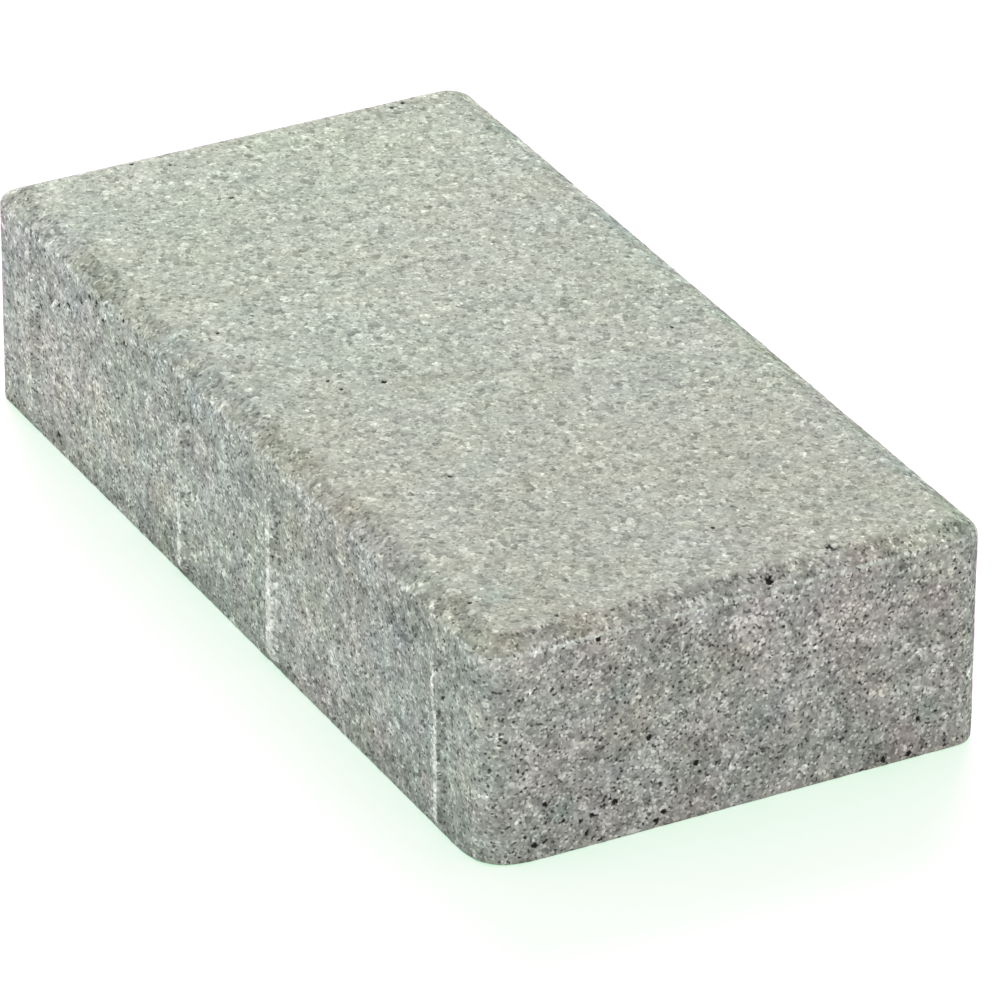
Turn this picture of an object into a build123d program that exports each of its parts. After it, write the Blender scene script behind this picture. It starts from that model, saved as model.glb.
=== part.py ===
# Concrete paving stone, pressed in one piece: a rectangular block, twice as long as wide,
# with rounded upright corners, a low chamfer round its top and spacer ribs on both long sides.
# Millimetres. X runs along the stone, Y across it, Z up. The origin is in the middle of the base.

import os

from build123d import *

# Block
length = 200.0
width = 100.0
height = 44.5
corner_radius = 5.0

# Chamfer round the top: how far it reaches in, how far down the sides, and its rounded inner corner
chamfer_inset = 4.5
chamfer_drop = 2.4
top_corner_radius = 2.0

# Spacer ribs, which keep the joint open between two laid stones
rib_projection = 1.0
rib_foot_width = 6.4
rib_crest_width = 2.6
rib_edge_radius = 0.5
rib_from_middle = 18.5
rib_from_end = 17.25
rib_below_chamfer = 1.5
rib_upper_run_out = 6.5
rib_above_base = 0.5
rib_lower_run_out = 2.5

side_height = height - chamfer_drop


def outline_at(z, inset, radius):
    """The stone's outline seen from above, drawn in by inset, at height z."""
    return Pos(0, 0, z) * RectangleRounded(length - 2 * inset, width - 2 * inset, radius)


def make_block():
    """Straight sides up to the chamfer, and the chamfer drawn in from there to the top face."""
    sides = extrude(outline_at(0, 0, corner_radius), side_height)
    lower_edge = outline_at(side_height, 0, corner_radius)
    upper_edge = outline_at(height, chamfer_inset, top_corner_radius)
    return sides + loft([lower_edge, upper_edge], ruled=True)


def make_rib():
    """One rib, standing out to -Y from a side at Y = 0, with both ends sloping back into the side."""
    foot = rib_foot_width / 2
    crest = rib_crest_width / 2
    root = rib_projection
    rib_top = side_height - rib_below_chamfer
    rib_bottom = rib_above_base
    section = Polygon(
        (-foot, root),
        (-foot, 0),
        (-crest, -rib_projection),
        (crest, -rib_projection),
        (foot, 0),
        (foot, root),
        align=None,
    )
    crest_corners = section.vertices().group_by(Axis.Y)[0]
    section = fillet(crest_corners, rib_edge_radius)
    side_view = Plane.YZ * Polygon(
        (root, rib_bottom),
        (0, rib_bottom),
        (-rib_projection, rib_bottom + rib_lower_run_out),
        (-rib_projection, rib_top - rib_upper_run_out),
        (0, rib_top),
        (root, rib_top),
        align=None,
    )
    return extrude(section, rib_top) & extrude(side_view, foot, both=True)


def make_paving_stone():
    """The block with the same four ribs on each long side."""
    stone = make_block()
    for side_turn in (0, 180):
        for place in (rib_from_middle, length / 2 - rib_from_end):
            for mirrored_place in (-place, place):
                on_side = Rot(0, 0, side_turn) * Pos(mirrored_place, -width / 2, 0)
                stone += on_side * make_rib()
    return stone


os.makedirs("parts", exist_ok=True)
export_step(make_paving_stone(), "parts/paving_stone.step")
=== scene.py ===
import math

import bmesh
import bpy
from mathutils import Matrix, Vector, kdtree, noise


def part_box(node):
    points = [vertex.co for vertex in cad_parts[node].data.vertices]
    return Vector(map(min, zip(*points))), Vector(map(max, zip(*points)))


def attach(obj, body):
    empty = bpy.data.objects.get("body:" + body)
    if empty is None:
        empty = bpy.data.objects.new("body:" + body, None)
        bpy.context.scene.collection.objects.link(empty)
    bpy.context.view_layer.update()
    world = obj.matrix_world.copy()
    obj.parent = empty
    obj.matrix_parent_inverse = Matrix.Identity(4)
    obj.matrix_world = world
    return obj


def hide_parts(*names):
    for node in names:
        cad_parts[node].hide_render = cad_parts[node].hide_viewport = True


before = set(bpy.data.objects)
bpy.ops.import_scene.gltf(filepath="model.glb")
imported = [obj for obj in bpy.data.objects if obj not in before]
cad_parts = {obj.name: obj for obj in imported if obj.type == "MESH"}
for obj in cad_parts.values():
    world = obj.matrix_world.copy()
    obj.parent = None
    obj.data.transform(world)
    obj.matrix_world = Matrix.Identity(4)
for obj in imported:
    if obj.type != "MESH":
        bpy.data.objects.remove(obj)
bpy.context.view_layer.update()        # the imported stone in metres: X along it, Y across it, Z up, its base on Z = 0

mm = 0.001       # sizes below are in real millimetres, and Blender works in metres
slack = 0.01     # how near, in millimetres, a point has to be to lie on a line or a level
squarely = 0.99  # how much of a face's normal has to point up or down for it to count as level

# The paving stone: pressed concrete, with a chamfer, spacer ribs, worn arrises and open pores

stone = {
    "cornerRadius": 5.0,
    "cornerSteps": 8,
    "chamferInset": 4.5,
    "chamferDrop": 2.4,
    "topCornerRadius": 2.0,
    "ribHeight": 1.0,
    "ribFoot": 6.4,
    "ribCrest": 2.6,
    "ribPlaces": (-82.75, -18.5, 18.5, 82.75),
    "ribBelowChamfer": 1.5,
    "ribUpperRunOut": 6.5,
    "ribAboveBase": 0.5,
    "ribLowerRunOut": 2.5,
    "baseWear": (0.3, 1),    # how far the base's edge has worn round, and in how many steps
    "arrisWear": (0.65, 2),  # the same at the chamfer's lower edge
    "innerWear": (0.45, 2),  # and at its upper edge
    "gridSize": 7.8,         # spacing of the first cuts, which are then halved down to longestEdge
    "longestEdge": 1.0,      # about the width of one coarse sand grain
    "halvings": 3,
    "finestEdge": 0.5,       # where an arris, a rib or a single mark shows
    "poreEdge": 0.3,         # where a single pore is pitted
    "arrisReach": 1.2,       # how far from the chamfer's two edges the mesh stays that fine
    "innerReach": 0.7,
    "crestMargin": 1.0,      # how far past its crest a rib is finely cut and chalky
    "markMargin": 0.4,
    "sharpAngle": 20.0,
}

wear = {                     # how wide and deep the edges have worn, and the whole surface's relief
    "arrisWidth": 1.2,
    "arrisDepth": 0.25,
    "baseWidth": 1.2,
    "baseDepth": 0.35,
    "waveDepth": 0.12,
    "sandDepth": 0.05,
    "sideSandDepth": 0.10,   # the sides come out of the mould rougher than the pressed top
    "poreDepth": 0.4,
    "poreSpacing": 8.0,
    "poreRadius": 0.9,
    "poreShare": 0.3,
    "leastPore": 0.01,       # keeps the reach over 0 where there is no pore
    "poreSeed": 4,
    "reliefStart": (0.1, 1.0),  # between these heights the relief sets in, because the base stays flat
    "pitStart": (0.3, 2.0),     # and the pits of the single marks
    "sandStop": 0.5,            # how far below the arris the sides' rougher sand ends
}

reliefNoise = {              # size in mm, seed, detail
    "chips": (2.6, 1, 2.0),
    "sand": (1.5, 2, 2.0),
    "wave": (14.0, 3, 1.0),
}

noiseSpan = (0.3, 0.7)       # what a noise texture mostly stays between
noiseReach = 0.5             # how far from 0 the function noise.noise mostly strays

dents = {                    # where it is, how far it is pushed in, how far the dent reaches
    "nearFoot": ((98.5, -48.5, 0), (-1.0, 1.0, 0.2), 9.0),
    "nearChip": ((94.0, -50.0, 42.0), (-0.2, 0.9, -0.7), 2.2),
}

low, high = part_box("paving_stone")
length = (high.x - low.x) / mm
width = (high.y - low.y) / mm - 2 * stone["ribHeight"]
height = (high.z - low.z) / mm
sideHeight = height - stone["chamferDrop"]
ribTop = sideHeight - stone["ribBelowChamfer"]
crestTop = ribTop - stone["ribUpperRunOut"]
crestBottom = stone["ribAboveBase"] + stone["ribLowerRunOut"]
chamferWidth = math.hypot(stone["chamferInset"], stone["chamferDrop"])


def pick(piece, kind, wanted):  # in edit mode, selects only the points, edges or faces that pass a test
    bpy.ops.mesh.select_mode(type={"verts": "VERT", "edges": "EDGE", "faces": "FACE"}[kind])
    bpy.ops.mesh.select_all(action="DESELECT")
    shape = bmesh.from_edit_mesh(piece.data)
    for part in getattr(shape, kind):
        part.select_set(wanted(part))
    shape.select_flush_mode()
    bmesh.update_edit_mesh(piece.data)


def isUpright(edge):
    return abs(edge.verts[0].co.z - edge.verts[1].co.z) > height / 2 * mm


def facesUp(face):
    return face.normal.z > squarely


def facesDown(face):
    return face.normal.z < -squarely


def cutAcross(place, direction):  # a straight cut through the whole mesh, which adds a line of edges
    bpy.ops.mesh.select_all(action="SELECT")
    bpy.ops.mesh.bisect(plane_co=Vector(place) * mm, plane_no=direction)


def inFromSide(place):  # how far a point lies in from the upright sides, in millimetres
    radius = stone["cornerRadius"]
    overX = abs(place.x) / mm - (length / 2 - radius)
    overY = abs(place.y) / mm - (width / 2 - radius)
    if overX > 0 and overY > 0:
        return radius - math.hypot(overX, overY)
    return radius - max(overX, overY)


def placesBetween(lines):  # evenly spaced places inside each gap of a row of lines
    places = []
    for start, finish in zip(lines, lines[1:]):
        parts = math.ceil((finish - start) / stone["gridSize"])
        places += [start + (finish - start) * i / parts for i in range(1, parts)]
    return places


def shapeBlock():
    bpy.ops.object.select_all(action="DESELECT")
    bpy.ops.mesh.primitive_cube_add(size=1, location=(0, 0, height / 2 * mm))
    piece = bpy.context.object
    piece.name = "castStone"
    piece.scale = Vector((length, width, height)) * mm
    bpy.ops.object.transform_apply(location=True, rotation=False, scale=True)
    bpy.ops.object.mode_set(mode="EDIT")
    pick(piece, "edges", isUpright)
    bpy.ops.mesh.bevel(offset=stone["cornerRadius"] * mm, segments=stone["cornerSteps"], affect="EDGES")
    pick(piece, "faces", facesUp)
    bpy.ops.mesh.inset(thickness=stone["chamferInset"] * mm)

    def isOutside(point):
        return point.co.z > (height - slack) * mm and inFromSide(point.co) < stone["chamferInset"] / 2
    pick(piece, "verts", isOutside)
    bpy.ops.transform.translate(value=(0, 0, -stone["chamferDrop"] * mm))
    widenTopCorners(piece)
    for level, name in ((0, "baseWear"), (sideHeight, "arrisWear"), (height, "innerWear")):
        wornOff, steps = stone[name]

        def isAtLevel(edge):
            return all(abs(point.co.z / mm - level) < slack for point in edge.verts)
        pick(piece, "edges", isAtLevel)
        bpy.ops.mesh.bevel(offset=wornOff * mm, segments=steps, affect="EDGES")
    return piece


def widenTopCorners(piece):  # the inset leaves them tight, so each grows about the tip it would have
    tight = stone["cornerRadius"] - stone["chamferInset"]
    growth = stone["topCornerRadius"] / tight
    startX = length / 2 - stone["cornerRadius"] - tight  # a little before the arc starts
    startY = width / 2 - stone["cornerRadius"] - tight
    for sideX in (-1, 1):
        for sideY in (-1, 1):
            def inCorner(point):
                x, y, z = point.co / mm
                return z > height - slack and x * sideX > startX and y * sideY > startY
            tip = Vector((sideX * (length / 2 - stone["chamferInset"]),
                          sideY * (width / 2 - stone["chamferInset"]), height)) * mm
            pick(piece, "verts", inCorner)
            bpy.ops.transform.resize(value=(growth, growth, 1), center_override=tip)


def raiseRibs(piece):
    crest, foot = stone["ribCrest"] / 2, stone["ribFoot"] / 2
    for place in stone["ribPlaces"]:
        for offset in (-foot, -crest, crest, foot):
            cutAcross((place + offset, 0, 0), (1, 0, 0))
    for level in (stone["ribAboveBase"], crestBottom, crestTop, ribTop):
        cutAcross((0, 0, level), (0, 0, 1))
    for side in (-1, 1):
        def onCrest(point):
            x, y, z = point.co / mm
            fromRib = min(abs(x - place) for place in stone["ribPlaces"])
            atLevel = crestBottom - slack < z < crestTop + slack
            return fromRib < crest + slack and y * side > width / 2 - slack and atLevel
        pick(piece, "verts", onCrest)
        bpy.ops.transform.translate(value=(0, side * stone["ribHeight"] * mm, 0))


def acrossChamfer(place):  # mm up from the arris: under 0 on the side, over chamferWidth on the top
    level = place.z / mm - sideHeight
    if level < 0:
        return level
    if level < stone["chamferDrop"] - slack:
        return level * chamferWidth / stone["chamferDrop"]
    return chamferWidth + inFromSide(place) - stone["chamferInset"]


def middleOf(edge):
    return (edge.verts[0].co + edge.verts[1].co) / 2


def isOver(edge, size):
    return edge.calc_length() > stone[size] * mm


def isOnRib(place):
    x, y, z = place / mm
    fromRib = min(abs(x - rib) for rib in stone["ribPlaces"])
    atLevel = crestBottom - stone["crestMargin"] < z < crestTop + stone["crestMargin"]
    return fromRib < stone["ribFoot"] / 2 and abs(y) > width / 2 - slack and atLevel


def isAlongChamfer(place):
    up = acrossChamfer(place)
    return abs(up) < stone["arrisReach"] or abs(up - chamferWidth) < stone["innerReach"]


def isNear(place, spots):
    return any((place - centre).length < reach for centre, reach in spots)


def showsDetail(place, spots):
    return isOnRib(place) or isAlongChamfer(place) or isNear(place, spots)


def halve(piece, isLong):  # halves the long edges, and splits the faces that get too many corners by it
    pick(piece, "edges", isLong)
    bpy.ops.mesh.subdivide(number_cuts=1)
    pick(piece, "faces", hasManyCorners)
    bpy.ops.mesh.quads_convert_to_tris(ngon_method="BEAUTY")


def hasManyCorners(face):  # such a face would fold when its points sink by different amounts
    return len(face.verts) > 4 and not facesDown(face)


def makeMeshFine(piece):  # a grid of cuts, whose long edges are halved until it is as fine as sand
    pick(piece, "faces", facesDown)
    bpy.ops.mesh.dissolve_faces()
    arcX = length / 2 - stone["chamferInset"] - stone["topCornerRadius"]
    arcY = width / 2 - stone["chamferInset"] - stone["topCornerRadius"]
    ribLines = [place + side * size / 2 for place in stone["ribPlaces"] for side in (-1, 1)
                for size in (stone["ribFoot"], stone["ribCrest"])]
    linesX = sorted([-arcX, arcX] + ribLines)
    for place in placesBetween(linesX) + [-arcX, arcX]:
        cutAcross((place, 0, 0), (1, 0, 0))
    for place in placesBetween([-arcY, arcY]) + [-arcY, arcY]:
        cutAcross((0, place, 0), (0, 1, 0))
    for level in placesBetween([crestBottom, crestTop, ribTop]):
        cutAcross((0, 0, level), (0, 0, 1))
    pick(piece, "faces", facesDown)
    bpy.ops.mesh.dissolve_faces()
    pick(piece, "faces", hasManyCorners)
    bpy.ops.mesh.quads_convert_to_tris(ngon_method="BEAUTY")
    for _ in range(stone["halvings"]):
        halve(piece, lambda edge: isOver(edge, "longestEdge"))
    spots = {"shadedPore": [], "fleck": []}
    for tone, radius, tallness, _, _, places in marks.values():
        if tone in spots:
            reach = (radius * tallness + stone["markMargin"]) * mm
            spots[tone] += [(Vector(place) * mm, reach) for place in places]
    everySpot = spots["shadedPore"] + spots["fleck"]
    halve(piece, lambda edge: isOver(edge, "finestEdge") and showsDetail(middleOf(edge), everySpot))
    halve(piece, lambda edge: isOver(edge, "poreEdge") and isNear(middleOf(edge), spots["shadedPore"]))
    bpy.ops.object.mode_set(mode="OBJECT")
    bpy.ops.object.shade_smooth_by_angle(angle=math.radians(stone["sharpAngle"]))


def pushIn(piece, place, push, reach):  # moves the nearest point, and what is around it less and less
    target = Vector(place) * mm
    nearest = min(piece.data.vertices, key=lambda point: (point.co - target).length).index
    bpy.ops.object.mode_set(mode="EDIT")
    pick(piece, "verts", lambda point: point.index == nearest)
    bpy.ops.transform.translate(value=Vector(push) * mm, use_proportional_edit=True,
                                proportional_edit_falloff="SMOOTH", proportional_size=reach * mm)
    bpy.ops.object.mode_set(mode="OBJECT")


def weigh(piece, name, weightAt):  # keeps a number for each point, worked out from its place
    weights = [min(1, max(0, weightAt(point.co))) for point in piece.data.vertices]
    piece.data.attributes.new(name, "FLOAT", "POINT").data.foreach_set("value", weights)


def nearArris(place):  # 1 on the lower edge of the chamfer, falling to 0
    away = math.hypot(inFromSide(place), place.z / mm - sideHeight)
    return 1 - away / wear["arrisWidth"]


def nearBaseEdge(place):
    away = math.hypot(inFromSide(place), place.z / mm)
    return 1 - away / wear["baseWidth"]


def offTheBase(place):  # 0 on the flat of the base, which has to stay flat
    return rise(place.z / mm, *wear["reliefStart"])


def onSide(place):
    return 1 if place.z < (sideHeight - wear["sandStop"]) * mm else 0


def addNode(tree, kind, settings={}, inputs={}):  # a node with its settings, its inputs set or linked
    node = tree.nodes.new(kind)
    for name, value in settings.items():
        setattr(node, name, value)
    for name, value in inputs.items():
        if isinstance(value, bpy.types.NodeSocket):
            tree.links.new(value, node.inputs[name])
        else:
            node.inputs[name].default_value = value
    return node


def makeRelief():  # sinks each point by the wear of its place, and keeps the pores for the material, which paints shade into them
    tree = bpy.data.node_groups.new("castRelief", "GeometryNodeTree")
    tree.interface.new_socket("Geometry", in_out="INPUT", socket_type="NodeSocketGeometry")
    tree.interface.new_socket("Geometry", in_out="OUTPUT", socket_type="NodeSocketGeometry")
    start = addNode(tree, "NodeGroupInput")
    place = addNode(tree, "GeometryNodeInputPosition").outputs[0]
    normal = addNode(tree, "GeometryNodeInputNormal").outputs[0]
    kept = {}
    for name in ("arris", "baseEdge", "open", "side", "pit"):
        kept[name] = addNode(tree, "GeometryNodeInputNamedAttribute", {"data_type": "FLOAT"},
                             {"Name": name}).outputs[0]
    lumps = {}
    for name, (grain, seed, detail) in reliefNoise.items():
        texture = addNode(tree, "ShaderNodeTexNoise", {"noise_dimensions": "4D"},
                          {"Vector": place, "W": seed, "Scale": 1 / (grain * mm), "Detail": detail})
        lumps[name] = addNode(tree, "ShaderNodeMapRange", {},
                              {"Value": texture.outputs[0], "From Min": noiseSpan[0],
                               "From Max": noiseSpan[1]}).outputs[0]
    sandDepth = addNode(tree, "ShaderNodeMapRange", {},
                        {"Value": kept["side"], "To Min": wear["sandDepth"],
                         "To Max": wear["sideSandDepth"]}).outputs[0]
    cells = addNode(tree, "ShaderNodeTexVoronoi", {"voronoi_dimensions": "4D"},
                    {"Vector": place, "W": wear["poreSeed"], "Scale": 1 / (wear["poreSpacing"] * mm)})
    draw = addNode(tree, "ShaderNodeSeparateXYZ", {}, {0: cells.outputs["Color"]}).outputs[0]
    reach = addNode(tree, "ShaderNodeMapRange", {},
                    {"Value": draw, "From Min": 1 - wear["poreShare"], "To Min": wear["leastPore"],
                     "To Max": wear["poreRadius"] / wear["poreSpacing"]}).outputs[0]
    shadedPore = addNode(tree, "ShaderNodeMapRange", {"interpolation_type": "SMOOTHSTEP"},
                   {"Value": cells.outputs["Distance"], "From Min": reach, "From Max": 0}).outputs[0]

    depth = 0
    for amount, share, where in ((lumps["chips"], wear["arrisDepth"], "arris"),
                                 (lumps["chips"], wear["baseDepth"], "baseEdge"),
                                 (lumps["sand"], sandDepth, "open"),
                                 (lumps["wave"], wear["waveDepth"], "open"),
                                 (shadedPore, wear["poreDepth"], "open"),
                                 (1.0, 1.0, "pit")):
        masked = addNode(tree, "ShaderNodeMath", {"operation": "MULTIPLY"}, {0: amount, 1: kept[where]})
        depth = addNode(tree, "ShaderNodeMath", {"operation": "MULTIPLY_ADD"},
                        {0: masked.outputs[0], 1: share, 2: depth}).outputs[0]
    inwards = addNode(tree, "ShaderNodeMath", {"operation": "MULTIPLY"}, {0: depth, 1: -mm}).outputs[0]
    sunk = addNode(tree, "ShaderNodeVectorMath", {"operation": "SCALE"}, {0: normal, "Scale": inwards})
    # on the base only sideways, so that it stays flat
    freeWays = addNode(tree, "ShaderNodeCombineXYZ", {}, {"X": 1, "Y": 1, "Z": kept["open"]})
    offset = addNode(tree, "ShaderNodeVectorMath", {"operation": "MULTIPLY"},
                     {0: sunk.outputs[0], 1: freeWays.outputs[0]}).outputs[0]
    stored = addNode(tree, "GeometryNodeStoreNamedAttribute", {"data_type": "FLOAT"},
                     {"Geometry": start.outputs[0], "Name": "shadedPore", "Value": shadedPore})
    moved = addNode(tree, "GeometryNodeSetPosition", {},
                    {"Geometry": stored.outputs[0], "Offset": offset})
    addNode(tree, "NodeGroupOutput", {}, {0: moved.outputs[0]})
    return tree


def wearStone(piece):
    for place, push, reach in dents.values():
        pushIn(piece, place, push, reach)
    weigh(piece, "arris", nearArris)
    weigh(piece, "baseEdge", nearBaseEdge)
    weigh(piece, "open", offTheBase)
    weigh(piece, "side", onSide)
    relief = piece.modifiers.new("castRelief", "NODES")
    relief.node_group = makeRelief()
    bpy.ops.object.modifier_apply(modifier=relief.name)


# The finish

def fromHex(code):  # an sRGB hex colour as the linear colour that Blender works in
    parts = [int(code[i:i + 2], 16) / 255 for i in (1, 3, 5)]
    return tuple(p / 12.92 if p <= 0.04045 else ((p + 0.055) / 1.055) ** 2.4 for p in parts) + (1.0,)


tones = {
    "top": ("#bfc5b7", "#b8baaf"),           # from -X to +X, greener and then more neutral
    "longSide": ("#b9bfb7", "#b8beb6", "#aeb4ac"),   # from -X to +X
    "longChamfer": ("#b4b9ad", "#abb0a4"),   # from -X to +X, darker than the top
    "end": ("#c4c4bc", "#c4c4bc", "#bdbdb5"),        # from -Y to +Y
    "endChamfer": ("#bcbdb3", "#bcbdb3"),    # from -Y to +Y
    "chalk": "#ebf1e6",          # worn arrises and rib crests
    # painted shade in the pores' pits
    "shadedPore": "#33322f",
    "shade": "#7d7c73",
    "olive": "#8f917d",
    "cream": "#dddfc8",
    "rosy": "#b6a8aa",
    "teal": "#a3bab2",
}

# the long sides grow darker towards the base: painted contact shade
heightToneAndPaintedShade = {                  # by height above the base: brightness on the long sides and the ends
    0.0: (0.82, 0.95),
    1.5: (0.85, 0.94),
    3.0: (0.89, 0.95),
    5.0: (0.95, 0.98),
    8.0: (1.00, 0.92),
    14.0: (1.05, 0.96),
    18.0: (1.08, 0.96),
    26.0: (0.99, 0.94),
    30.0: (0.96, 0.94),
    34.0: (0.91, 0.97),
    38.0: (0.95, 0.98),
    42.0: (1.02, 1.00),
}

# near the top's edge, darker at 4.2 mm and paler at 4.8 mm: a painted step from the chamfer's light to the top's, set
# a little down the chamfer from where the mesh turns
chamferToneAndPaintedLight = {                 # the same by how far up the chamfer
    0.0: (1.00, 1.04),
    2.5: (0.99, 0.99),
    4.2: (0.97, 0.92),
    4.8: (1.02, 1.03),
    5.3: (1.00, 1.00),
}

chalk = {                        # the pale band along the arris
    "middle": -0.12,             # in mm up the chamfer
    "reach": 0.95,
    "long": 0.34,                # how pale it is on the long sides and on the ends
    "end": 0.49,
    "firmness": 1.6,             # how firmly it, and a rib's pale line, stand out before they fade
}

# by height on each rib: the middle of its pale line, half the line's width, how pale the line is,
# and how pale the rest of the crest and the flank beside it are
ribChalk = {
    -82.75: {
        4.0: (0.4, 1.6, 0.44, 0.10, 0.00),
        13.0: (0.4, 1.6, 0.40, 0.10, 0.00),
        16.0: (0.3, 1.1, 0.00, 0.00, 0.00),
        22.0: (0.4, 1.2, 0.00, 0.00, 0.10),
        26.0: (0.4, 1.4, 0.45, 0.10, 0.30),
        33.0: (0.4, 1.4, 0.38, 0.10, 0.30),
        34.5: (0.4, 1.4, 0.00, 0.00, 0.00),
    },
    -18.5: {
        14.0: (0.3, 1.0, 0.80, 0.10, 0.10),
        17.0: (0.2, 1.3, 0.42, 0.20, 0.00),
        23.0: (0.2, 1.3, 0.38, 0.20, 0.00),
        26.0: (-0.5, 1.2, 0.32, 0.10, 0.00),
        30.5: (-0.5, 1.2, 0.32, 0.10, 0.00),
        31.5: (-0.5, 1.1, 0.05, 0.00, 0.00),
    },
    18.5: {
        13.0: (0.5, 1.8, 1.00, 0.50, 0.50),
        16.0: (0.0, 1.1, 0.95, 0.45, 0.50),
        23.0: (0.0, 1.1, 0.90, 0.40, 0.40),
        26.0: (0.0, 1.0, 0.45, 0.05, 0.00),
        27.5: (0.0, 1.1, 0.95, 0.05, 0.00),
        31.0: (0.0, 1.1, 0.95, 0.05, 0.00),
        32.0: (0.0, 1.0, 0.00, 0.00, 0.00),
    },
    82.75: {
        13.0: (0.6, 1.0, 1.00, 0.35, 0.10),
        16.0: (0.7, 0.8, 1.00, 0.30, 0.05),
        23.0: (0.6, 0.8, 0.95, 0.30, 0.00),
        26.0: (-0.5, 1.0, 0.60, 0.10, 0.00),
        34.0: (-0.6, 1.0, 0.50, 0.05, 0.00),
        34.8: (-0.6, 1.0, 0.05, 0.00, 0.00),
    },
}

clouds = {                       # size in mm, and how far brightness, red and blue wander in it
    "broad": (34.0, 0.04, 0.036, 0.032),
    "patchy": (8.0, 0.085, 0.033, 0.036),
    "mottled": (2.6, 0.18, 0.006, 0.006),
}

cloudPlaces = ((3, 7, 1), (9, 2, 5), (1, 4, 8))  # far enough apart for each of the three to go its way

onTopShare = {                   # how much of the clouds shows on the smoother top
    "brightness": 0.2,
    "tint": 0.4,
}

seams = {                        # from where to where regions blend, in mm up the chamfer
    "sideToChamfer": (-0.3, 0.3),
    "chamferToTop": (4.6, 6.8),
    "soonerOnEnds": 1.2,
    "grainToChamfer": (-0.5, 0.5),
    "grainToTop": (4.5, 5.5),
}

grainShare = {                   # how much of the fine sand shows
    "top": 0.49,
    "longSide": 0.86,
    "longChamfer": 0.66,
    "end": 1.00,
    "endChamfer": 0.82,
}

markEdge = {                     # how a mark fades out round its radius
    "furthest": 1.3,             # as a share of the radius
    "raggedness": 0.6,
    "lumpShare": 0.6,            # size of the lumps in its ragged edge, as a share of the radius
    "largestLump": 1.0,          # and at most, in mm
    "poreFirmness": 2.5,
    "otherFirmness": 1.5,
}
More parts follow.
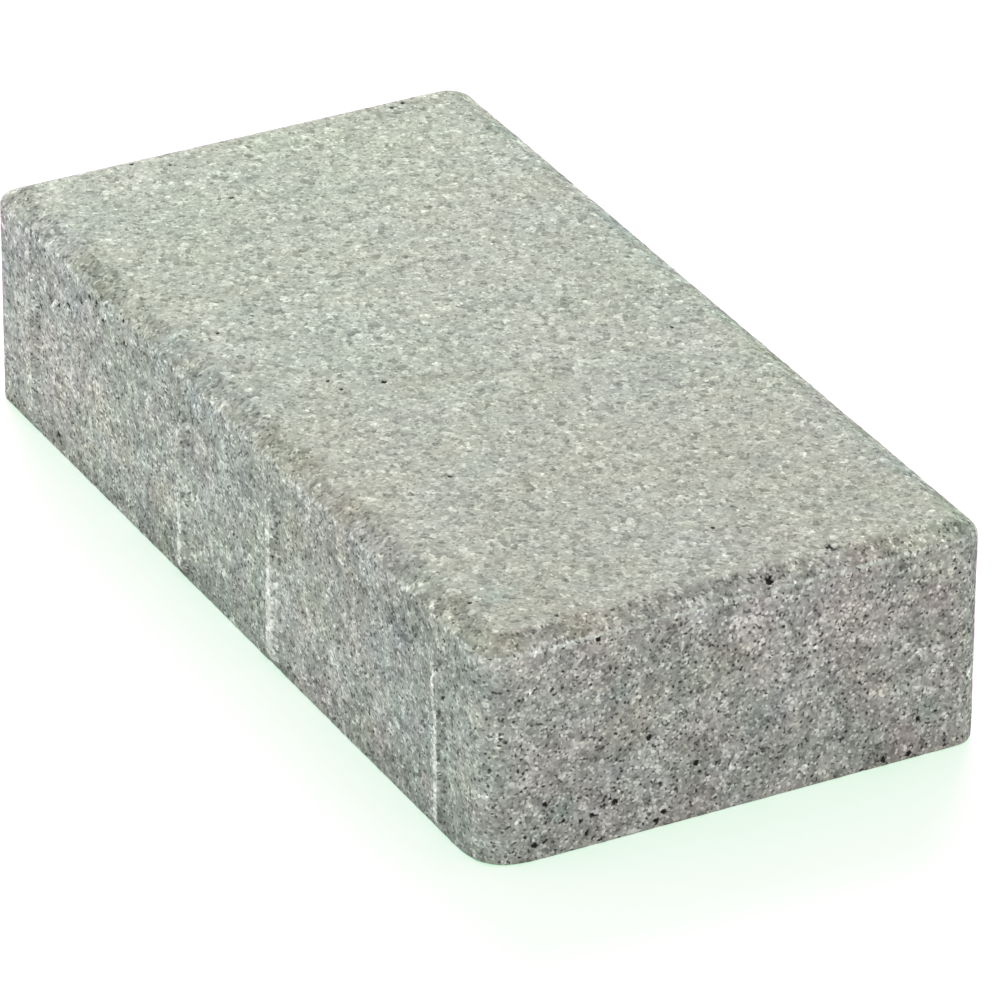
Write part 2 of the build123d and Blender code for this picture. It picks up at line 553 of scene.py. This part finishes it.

# single pores, flecks and stains: tone, radius, how many times as tall as wide, how strong, how deep,
# and the places
# a pore's dark tone is painted shade in its pit
marks = {
    "endPores": ("shadedPore", 0.65, 1, 0.95, 0.35, (
        (100, -16.0, 1.5), (100, -14.5, 3.0), (100, -40.0, 3.2), (100, -38.0, 10.8), (100, -28.7, 6.0),
        (100, -24.1, 7.7), (100, -17.5, 18.8), (100, -8.1, 11.0), (100, -27.8, 41.1), (100, 35.0, 1.2),
        (100, 29.7, 1.4), (100, 36.8, 7.7))),
    "endSmallPores": ("shadedPore", 0.45, 1, 0.85, 0.3, (
        (100, -39.8, 6.6), (100, -34.3, 6.7), (100, -30.8, 5.7), (100, -29.8, 2.8), (100, -26.8, 0.8),
        (100, -26.3, 7.5))),
    "chamferPore": ("shadedPore", 1.0, 1, 0.95, 0.7, ((98.2, 6.8, 43.0),)),
    "chamferDark": ("shadedPore", 0.7, 1, 0.60, 0.2, ((95.6, 20.8, 44.4), (94.0, -32.8, 44.5))),
    "topPores": ("shadedPore", 0.75, 1, 0.90, 0.3, (
        (4.9, -20.4, 44.5), (94.7, 20.4, 44.5), (-94.5, 34.8, 44.5))),
    "topSmallPores": ("shadedPore", 0.5, 1, 0.80, 0.2, (
        (0.1, -29.3, 44.5), (3.9, -28.6, 44.5), (-25.7, -38.8, 44.5), (-63.8, 26.3, 44.5),
        (-93.5, 31.9, 44.5), (83.3, -44.1, 44.5), (41.1, 26.1, 44.5), (10.2, 36.0, 44.5),
        (79.5, 5.9, 44.5), (-73.5, -12.3, 44.5), (-94.6, -23.0, 44.5), (-91.2, -16.6, 44.5),
        (41.9, -26.3, 44.5))),
    "sidePores": ("shadedPore", 0.8, 1, 0.80, 0.3, ((85.0, -50, 28.0), (-72.1, -50, 3.7))),
    "sideRow": ("shadedPore", 0.65, 1, 0.80, 0.2, (
        (-79.0, -50, 28.0), (-70.5, -50, 32.0), (-66.2, -50, 33.9), (-60.7, -50, 37.3),
        (-56.9, -50, 40.1), (-53.9, -50, 40.4), (-52.6, -49.8, 42.2), (-51.2, -50, 37.7),
        (-42.9, -50, 41.6), (-42.3, -50, 37.2))),
    "topFlecks": ("fleck", 0.8, 1, 0.75, 0, (
        (74.0, -26.2, 44.5), (94.2, -44.9, 44.5), (88.6, -43.7, 44.5), (92.6, -29.3, 44.5),
        (69.1, -28.1, 44.5), (43.4, -25.7, 44.5), (40.8, -15.6, 44.5), (8.9, 15.5, 44.5),
        (5.2, 10.4, 44.5), (-6.0, 10.1, 44.5), (-19.4, 5.7, 44.5), (-6.9, -13.8, 44.5),
        (50.0, 6.9, 44.5), (89.3, 3.1, 44.5), (94.3, 5.8, 44.5))),
    "topPale": ("fleck", 1.2, 1, 0.70, 0, ((21.8, 38.9, 44.5),)),
    "topCream": ("cream", 1.6, 1, 0.60, 0, ((76.0, 2.8, 44.5),)),
    "sideFlecks": ("fleck", 0.9, 1, 0.75, 0, (
        (23.2, -50, 40.4), (78.5, -49.1, 42.6), (70.1, -49.7, 42.3), (-10.2, -50, 40.7))),
    "cornerChip": ("fleck", 1.6, 1, 0.60, 0, ((94.0, -50, 41.0),)),
    "cornerFlecks": ("fleck", 0.9, 1, 0.65, 0, ((99.0, -37.7, 42.7), (100, -27.6, 42.1))),
    "chamferPale": ("fleck", 1.5, 1, 0.45, 0, ((95.1, 5.7, 44.5), (99.4, 11.3, 42.4))),
    "endStreaks": ("fleck", 1.4, 3, 0.40, 0, (
        (100, -27.4, 28.1), (100, 19.3, 13.8), (100, 34.0, 11.4), (100, -45.3, 21.0))),
    "endPaleRound": ("fleck", 2.4, 1, 0.35, 0, ((100, -27.5, 25.1),)),
    "cornerOlive": ("olive", 3.0, 1, 0.40, 0, (
        (82.1, -45.3, 44.5), (97.2, -42.6, 43.6), (98.3, -30.5, 43.0))),
    "chamferOlive": ("olive", 3.2, 1, 0.32, 0, (
        (11.1, -46.5, 44.0), (25.3, -46.2, 44.1), (-53.8, -50, 42.0), (-8.6, -50, 41.9))),
    "sideOlive": ("olive", 3.5, 1, 0.16, 0, (
        (-45.5, -50, 4.0), (-26.3, -50, 30.6), (16.5, -50, 24.7), (17.0, -50, 7.3),
        (-87.6, -50, 21.6))),
    "sideShade": ("shade", 3.0, 1, 0.30, 0, ((-71.5, -50, 2.9), (-32.4, -50, 7.1), (-19.9, -50, 0.6))),
    "sideRosy": ("rosy", 3.5, 1, 0.35, 0, (
        (38.5, -50, 5.3), (-76.7, -50, 9.9), (60.0, -50, 6.5), (78.0, -50, 6.8), (-31.2, -50, 11.3))),
    "endRosy": ("rosy", 4.2, 1, 0.30, 0, (
        (100, -36.0, 4.9), (100, -37.8, 14.8), (100, -5.6, 5.4), (100, 28.4, 10.6))),
    "endRosyDark": ("rosy", 4.2, 1, 0.55, 0, ((100, 40.3, 31.5), (100, 33.1, 4.6))),
    "chamferRosy": ("rosy", 3.6, 1, 0.30, 0, ((98.7, 25.6, 42.8),)),
    "endTeal": ("teal", 4.0, 1, 0.35, 0, ((100, -23.6, 29.5), (100, -34.8, 9.2), (100, 38.4, 9.3))),
    "topTeal": ("teal", 3.8, 1, 0.35, 0, ((83.5, -38.8, 44.5),)),
}


def mix(share, under, over):
    return under + (over - under) * share


def blend(share, under, over):  # the same for colours and rows of numbers
    return [mix(share, u, o) for u, o in zip(under, over)]


def rise(value, start, finish):  # 0 up to the start, 1 from the finish on
    return min(1, max(0, (value - start) / (finish - start)))


def toneAlong(region, share):  # the region's colour at a share of its length
    colours = tones[region]
    gap = min(int(share * (len(colours) - 1)), len(colours) - 2)
    return blend(share * (len(colours) - 1) - gap, fromHex(colours[gap]), fromHex(colours[gap + 1]))


def readTable(table, level):  # the row of numbers at a level between the levels of a table
    levels = list(table)
    below = max([known for known in levels if known <= level], default=levels[0])
    above = min([known for known in levels if known > level], default=levels[-1])
    return blend(rise(level, below, above) if above > below else 0, table[below], table[above])


def shadeAt(table, level, turn):  # the table's brightness at a level, at a turn from long side to end
    onLong, onEnd = readTable(table, level)
    return mix(turn, onLong, onEnd)


def turnAt(place):  # 0 on the long sides, 1 on the ends, in between round the corners
    corner = stone["chamferInset"] + stone["topCornerRadius"]
    overX = abs(place.x) / mm - (length / 2 - corner)
    overY = abs(place.y) / mm - (width / 2 - corner)
    return math.atan2(max(0, overX), max(0, overY)) / (math.pi / 2)


def markPoints(piece):  # which marks reach each point, how strongly, and how deep it is pitted
    points = piece.data.vertices
    tree = kdtree.KDTree(len(points))
    for point in points:
        tree.insert(point.co, point.index)
    tree.balance()
    stains = {}
    pits = [0.0] * len(points)
    for tone, radius, tallness, strength, depth, places in marks.values():
        lump = min(markEdge["largestLump"], markEdge["lumpShare"] * radius) * mm
        firmness = markEdge["poreFirmness"] if tone == "shadedPore" else markEdge["otherFirmness"]
        for centre in (Vector(place) * mm for place in places):
            for co, index, _ in tree.find_range(centre, radius * tallness * markEdge["furthest"] * mm):
                away = (co - centre) / (radius * mm)
                away.z /= tallness
                ragged = markEdge["raggedness"] * noise.noise(co / lump)
                share = min(1, max(0, firmness * (1 - away.length + ragged)))
                stains.setdefault(index, []).append((tone, strength * share))
                pits[index] = max(pits[index], depth * share * rise(co.z / mm, *wear["pitStart"]))
    return stains, pits


def chalkAt(place):  # how chalky a point is: along the arris, and along the line on each rib
    away = abs(acrossChamfer(place) - chalk["middle"])
    arris = min(1, chalk["firmness"] * rise(chalk["reach"] - away, 0, chalk["reach"]))
    pale = arris * mix(turnAt(place), chalk["long"], chalk["end"])
    if isOnRib(place):
        x, _, z = place / mm
        rib = min(stone["ribPlaces"], key=lambda known: abs(x - known))
        middle, half, line, crest, flank = readTable(ribChalk[rib], z)
        onLine = min(1, chalk["firmness"] * rise(half - abs(x - rib - middle), 0, half)) * line
        onFlank = flank if 0 < x - rib < stone["ribCrest"] else 0
        pale = max(pale, onLine, crest if abs(x - rib) < stone["ribCrest"] / 2 else onFlank)
    return pale


def toneAt(place):  # the cement's colour at a point
    x, y, z = place / mm
    alongX, alongY = x / length + 0.5, y / width + 0.5
    turn, up = turnAt(place), acrossChamfer(place)
    side = blend(turn, toneAlong("longSide", alongX), toneAlong("end", alongY))
    side = [value * shadeAt(heightToneAndPaintedShade, z, turn) for value in side]
    chamfer = blend(turn, toneAlong("longChamfer", alongX), toneAlong("endChamfer", alongY))
    chamfer = [value * shadeAt(chamferToneAndPaintedLight, up, turn) for value in chamfer]
    colour = blend(rise(up, *seams["sideToChamfer"]), side, chamfer)
    start, finish = seams["chamferToTop"]
    onTop = rise(up, start, finish - seams["soonerOnEnds"] * turn)
    colour = blend(onTop, colour, toneAlong("top", alongX))
    for size, brightness, red, blue in clouds.values():
        spot = place / (size * mm)
        light, warm, cool = (noise.noise(spot + Vector(apart)) / noiseReach for apart in cloudPlaces)
        brighter = light * brightness * mix(onTop, 1, onTopShare["brightness"])
        redder = warm * red * mix(onTop, 1, onTopShare["tint"])
        bluer = cool * blue * mix(onTop, 1, onTopShare["tint"])
        changes = (brighter + redder, brighter, brighter + bluer)
        colour = [value * (1 + change) for value, change in zip(colour, changes)]
    return colour


def grainAt(place):
    turn, up = turnAt(place), acrossChamfer(place)
    side = mix(turn, grainShare["longSide"], grainShare["end"])
    chamfer = mix(turn, grainShare["longChamfer"], grainShare["endChamfer"])
    share = mix(rise(up, *seams["grainToChamfer"]), side, chamfer)
    return mix(rise(up, *seams["grainToTop"]), share, grainShare["top"])


def paintStone(piece):
    stains, pits = markPoints(piece)
    colours, markedPoreShade, grain = [], [], []
    for point in piece.data.vertices:
        colour, pale, darkest = toneAt(point.co), chalkAt(point.co), 0.0
        for tone, share in stains.get(point.index, ()):
            if tone == "fleck":
                pale = max(pale, share)
            elif tone == "shadedPore":
                darkest = max(darkest, share)
            else:
                colour = blend(share, colour, fromHex(tones[tone]))
        colours += colour + [pale]
        markedPoreShade.append(darkest)
        grain.append(grainAt(point.co))
    paint = piece.data.color_attributes.new("castTone", "FLOAT_COLOR", "POINT")
    paint.data.foreach_set("color", colours)
    for name, values in (("pit", pits), ("markedPoreShade", markedPoreShade), ("grainShare", grain)):
        piece.data.attributes.new(name, "FLOAT", "POINT").data.foreach_set("value", values)
    print("paint:", len(markedPoreShade), "points")


# Pressed concrete: cement, sand and fine gravel rammed almost dry into a mould. To the eye it is matte
# and sandy, a greenish grey salt-and-pepper of single grains, pitted with small open pores and chalky
# where an arris has worn. Its sand is 0.1 to 0.5 mm, and the finer of the two grains is drawn at the
# coarse end of that, so that it shows.

concrete = {
    "roughness": 0.92,
    "specular": 0.25,
    "bumpDepth": 0.10,
    # how far the painted shade darkens the pores
    "poreShadeStrength": 0.55,
    "crumble": 0.45,             # how raggedly chalk and the pores' painted shade break off, grain by grain
    "grainUnderChalk": 0.8,
    "grains": {                  # size in mm, seed, how much of its tone shows, how far it stands up
        "fineSand": (0.50, 11, 1.0, 0.6),
        "coarseSand": (1.20, 12, 0.42, 1.0),
    },
    "grainTones": {              # by the share of darker grains: brightness beside the cement's
        0.00: 0.10, 0.06: 0.43, 0.17: 0.78, 0.36: 0.97, 0.60: 1.07, 0.80: 1.24, 0.93: 1.58, 1.00: 2.10,
    },
}


def makeConcrete():
    material = bpy.data.materials.new("pressedConcrete")
    material.use_nodes = True
    tree = material.node_tree
    tree.nodes.clear()
    place = addNode(tree, "ShaderNodeTexCoord").outputs["Object"]
    painted = addNode(tree, "ShaderNodeAttribute", {"attribute_name": "castTone"})
    share = addNode(tree, "ShaderNodeAttribute", {"attribute_name": "grainShare"}).outputs["Fac"]
    shadedPore = addNode(tree, "ShaderNodeAttribute", {"attribute_name": "shadedPore"}).outputs["Fac"]
    markedPoreShade = addNode(tree, "ShaderNodeAttribute", {"attribute_name": "markedPoreShade"}).outputs["Fac"]

    cells, relief = {}, 0.0
    for name, (size, seed, _, standing) in concrete["grains"].items():
        moved = addNode(tree, "ShaderNodeVectorMath", {"operation": "ADD"},
                        {0: place, 1: (seed, seed / 2, seed / 3)})
        cell = addNode(tree, "ShaderNodeTexVoronoi", {},
                       {"Vector": moved.outputs[0], "Scale": 1 / (size * mm)})
        cells[name] = addNode(tree, "ShaderNodeSeparateXYZ", {}, {0: cell.outputs["Color"]}).outputs
        relief = addNode(tree, "ShaderNodeMath", {"operation": "MULTIPLY_ADD"},
                         {0: cell.outputs["Distance"], 1: -standing, 2: relief}).outputs[0]

    crumbled = {}
    for name, amount, draw in (("chalk", painted.outputs["Alpha"], cells["fineSand"][1]),
                               ("markedPoreShade", markedPoreShade, cells["fineSand"][2])):
        left = addNode(tree, "ShaderNodeMath", {"operation": "MULTIPLY_ADD"},
                       {0: draw, 1: -concrete["crumble"], 2: amount}).outputs[0]
        crumbled[name] = addNode(tree, "ShaderNodeMapRange", {},
                                 {"Value": left, "From Max": concrete["crumble"]}).outputs[0]
    colour = addNode(tree, "ShaderNodeMix", {"data_type": "RGBA"},
                     {0: crumbled["chalk"], 6: painted.outputs["Color"],
                      7: fromHex(tones["chalk"])}).outputs[2]
    bare = addNode(tree, "ShaderNodeMapRange", {},
                   {"Value": crumbled["chalk"], "To Min": 1.0,
                    "To Max": concrete["grainUnderChalk"]}).outputs[0]
    fine = addNode(tree, "ShaderNodeMath", {"operation": "MULTIPLY"}, {0: share, 1: bare}).outputs[0]
    shown = {"fineSand": fine, "coarseSand": bare}
    for name, (_, _, contrast, _) in concrete["grains"].items():
        ramp = addNode(tree, "ShaderNodeValToRGB", {}, {"Fac": cells[name][0]})
        stops = ramp.color_ramp.elements
        for level, value in concrete["grainTones"].items():
            stop = stops[0] if level == 0 else stops[-1] if level == 1 else stops.new(level)
            stop.color = (value, value, value, 1)
        strength = addNode(tree, "ShaderNodeMath", {"operation": "MULTIPLY"},
                           {0: shown[name], 1: contrast}).outputs[0]
        change = addNode(tree, "ShaderNodeMix", {"data_type": "RGBA"},
                         {0: strength, 6: (1, 1, 1, 1), 7: ramp.outputs[0]}).outputs[2]
        colour = addNode(tree, "ShaderNodeVectorMath", {"operation": "MULTIPLY"},
                         {0: colour, 1: change}).outputs[0]
    # the pores, and the marked ones, darkened with painted shade
    poreShare = addNode(tree, "ShaderNodeMath", {"operation": "MULTIPLY"},
                        {0: shadedPore, 1: concrete["poreShadeStrength"]})
    darkest = addNode(tree, "ShaderNodeMath", {"operation": "MAXIMUM"},
                      {0: poreShare.outputs[0], 1: crumbled["markedPoreShade"]})
    colour = addNode(tree, "ShaderNodeMix", {"data_type": "RGBA"},
                     {0: darkest.outputs[0], 6: colour, 7: fromHex(tones["shadedPore"])}).outputs[2]

    bump = addNode(tree, "ShaderNodeBump", {},
                   {"Strength": 1.0, "Distance": concrete["bumpDepth"] * mm, "Height": relief})
    shader = addNode(tree, "ShaderNodeBsdfPrincipled", {},
                     {"Base Color": colour, "Normal": bump.outputs[0],
                      "Roughness": concrete["roughness"], "Specular IOR Level": concrete["specular"]})
    addNode(tree, "ShaderNodeOutputMaterial", {}, {"Surface": shader.outputs["BSDF"]})
    return material


def makeStone():
    piece = shapeBlock()
    raiseRibs(piece)
    makeMeshFine(piece)
    paintStone(piece)
    wearStone(piece)
    triangles = sum(len(face.vertices) - 2 for face in piece.data.polygons)
    print("stone:", len(piece.data.vertices), "vertices", triangles, "triangles")
    return piece


# Floor, light and camera

studio = {
    "floorSize": 6000.0,
    "floorPaint": "#ff9ced",   # with the floor's own light: white in the open, faint mint in shadow
    "floorLight": "#a1e7b3",
    "floorBounce": 0.8,        # how much of the light the floor throws back at the stone
    "worldStrength": 0.60,
    "backdropStrength": 1.0,   # the world's where the camera sees past the floor
    "lampDistance": 2000.0,
    "lamps": {             # the way towards it, its size in millimetres, and its share of full white
        "keySoftbox": ((-0.70, 0.35, 0.62), 1200.0, 0.60),
        "sideFill": ((-0.30, -0.95, 0.15), 1400.0, 0.24),
    },
}

view = {                  # worked out from the stone's outline in the photograph
    "turn": 61.987,       # degrees round from the stone's long side
    "elevation": 28.978,
    "roll": 0.262,
    "distance": 1554.0,
    "aside": 5.36,        # how far the camera stands to the right of the stone's middle, and above it
    "above": 10.80,
    "focalPixels": 8426,  # in an image 1000 pixels wide
    "imageWidth": 1000,
    "sensor": 36.0,
}


def makeFloor():
    bpy.ops.object.select_all(action="DESELECT")
    bpy.ops.mesh.primitive_plane_add(size=studio["floorSize"] * mm, location=(0, 0, 0))
    floor = bpy.context.object
    floor.name = "paleFloor"
    material = bpy.data.materials.new("paleFloorPaint")
    material.use_nodes = True
    tree = material.node_tree
    tree.nodes.clear()
    path = addNode(tree, "ShaderNodeLightPath")
    paint = addNode(tree, "ShaderNodeBsdfDiffuse", {}, {"Color": fromHex(studio["floorPaint"])})
    light = addNode(tree, "ShaderNodeEmission", {},
                    {"Color": fromHex(studio["floorLight"]), "Strength": 1.0})
    seen = addNode(tree, "ShaderNodeAddShader", {}, {0: paint.outputs[0], 1: light.outputs[0]})
    bounce = studio["floorBounce"]
    lit = addNode(tree, "ShaderNodeBsdfDiffuse", {}, {"Color": (bounce, bounce, bounce, 1)})
    either = addNode(tree, "ShaderNodeMixShader", {},
                     {0: path.outputs["Is Camera Ray"], 1: lit.outputs[0], 2: seen.outputs[0]})
    addNode(tree, "ShaderNodeOutputMaterial", {}, {"Surface": either.outputs[0]})
    floor.data.materials.append(material)


def makeLamps():
    distance = studio["lampDistance"] * mm
    for name, (towards, size, share) in studio["lamps"].items():
        place = Vector(towards).normalized() * distance
        facing = place.to_track_quat("Z", "Y").to_euler()
        bpy.ops.object.light_add(type="AREA", location=place, rotation=facing)
        lamp = bpy.context.object
        lamp.name = name
        lamp.data.size = size * mm
        lamp.data.energy = share * (math.pi * distance) ** 2  # so that white renders at this share


def makeWorld():
    world = bpy.data.worlds.new("softWhite")
    bpy.context.scene.world = world
    world.use_nodes = True
    tree = world.node_tree
    tree.nodes.clear()
    path = addNode(tree, "ShaderNodeLightPath")
    strength = addNode(tree, "ShaderNodeMix", {},
                       {0: path.outputs["Is Camera Ray"], 2: studio["worldStrength"],
                        3: studio["backdropStrength"]})
    background = addNode(tree, "ShaderNodeBackground", {},
                         {"Color": (1, 1, 1, 1), "Strength": strength.outputs[0]})
    addNode(tree, "ShaderNodeOutputWorld", {}, {"Surface": background.outputs[0]})


def makeCamera():
    turn, elevation, roll = (math.radians(view[name]) for name in ("turn", "elevation", "roll"))
    outwards = math.cos(elevation)
    back = Vector((math.sin(turn) * outwards, -math.cos(turn) * outwards, math.sin(elevation)))
    level = Vector((math.cos(turn), math.sin(turn), 0))
    axes = Matrix((level, back.cross(level), back)).transposed()
    axes = axes @ Matrix.Rotation(roll, 3, "Z")
    place = axes @ Vector((view["aside"], view["above"], view["distance"])) * mm
    bpy.ops.object.camera_add(location=place, rotation=axes.to_euler())
    camera = bpy.context.object
    camera.data.sensor_width = view["sensor"]
    camera.data.lens = view["sensor"] * view["focalPixels"] / view["imageWidth"]
    bpy.context.scene.camera = camera


piece = makeStone()
piece.data.materials.append(makeConcrete())
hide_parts("paving_stone")
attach(piece, "root")
makeFloor()
makeLamps()
makeWorld()
makeCamera()
print("studio: floor, lamps, world and camera")
bpy.context.scene.view_settings.view_transform = "Standard"
